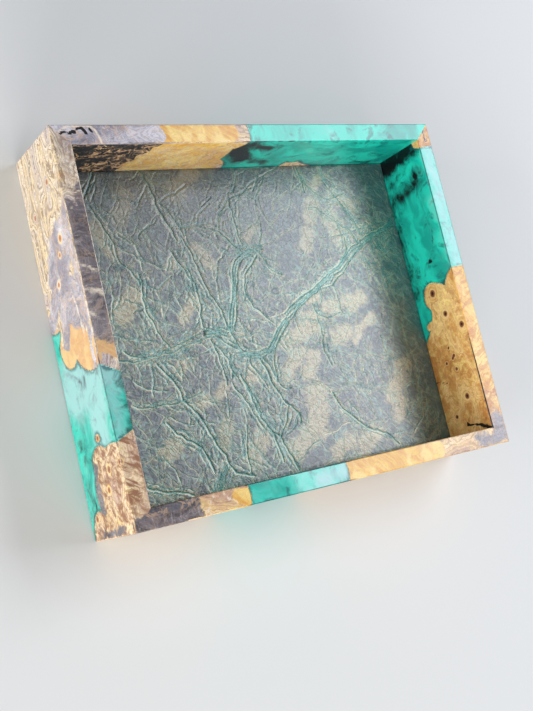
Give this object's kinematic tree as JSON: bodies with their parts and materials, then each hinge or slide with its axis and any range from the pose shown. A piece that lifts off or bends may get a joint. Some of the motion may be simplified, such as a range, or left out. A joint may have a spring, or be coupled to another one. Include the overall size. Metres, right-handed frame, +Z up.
{
  "type": "dice tray",
  "caption": "Shallow rectangular dice tray with mitred rails of burl wood cast in teal resin, and a floor lined with crackled leather.",
  "frame": {"origin": "centre of the underside, on the surface that the rails stand on", "axes": "+Z up out of the open side, +X along the tray's length, +Y across it towards the back rail"},
  "size_m": [0.254, 0.206, 0.051],
  "materials": {
    "burl_wood": "sanded and polished to a satin gloss",
    "cast_resin": "cast epoxy, polished",
    "plywood": "sanded, bare",
    "leather": "creased, hand-dyed, waxed"
  },
  "bodies": {
    "root": {"left_burl_back": "burl_wood", "left_burl_front": "burl_wood", "left_burl_islet": "burl_wood", "left_resin": "cast_resin", "back_burl": "burl_wood", "back_burl_sliver": "burl_wood", "back_resin": "cast_resin", "right_burl_cap": "burl_wood", "right_burl": "burl_wood", "right_resin": "cast_resin", "front_burl_left": "burl_wood", "front_burl_right": "burl_wood", "front_resin": "cast_resin", "floor_panel": "plywood", "leather_lining": "leather"}
  },
  "joints": []
}
